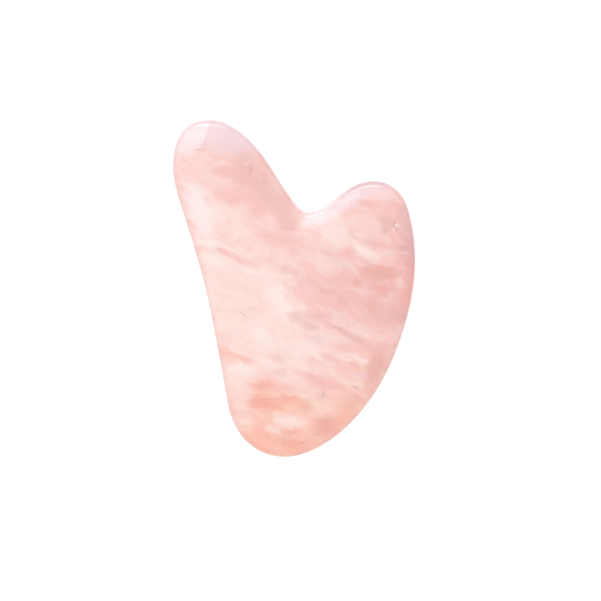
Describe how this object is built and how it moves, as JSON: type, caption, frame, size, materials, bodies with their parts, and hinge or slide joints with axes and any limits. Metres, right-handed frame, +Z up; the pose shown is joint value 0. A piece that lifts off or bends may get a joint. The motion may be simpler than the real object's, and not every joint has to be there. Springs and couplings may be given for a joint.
{
  "type": "gua sha scraper",
  "caption": "Flat heart-shaped massage stone of polished rose quartz: a long and a short lobe with a notch between them, a long flank, a convex sweep, a rounded foot and softly thinned edges.",
  "frame": {"origin": "on the lower face, in the middle of the outline's length and width", "axes": "+Z up through the thickness, +Y along the length towards the long lobe, +X across the stone towards the short lobe"},
  "size_m": [0.054, 0.085, 0.0065],
  "materials": {
    "rose_quartz": "polished"
  },
  "bodies": {
    "root": {"scraper_stone": "rose_quartz"}
  },
  "joints": []
}
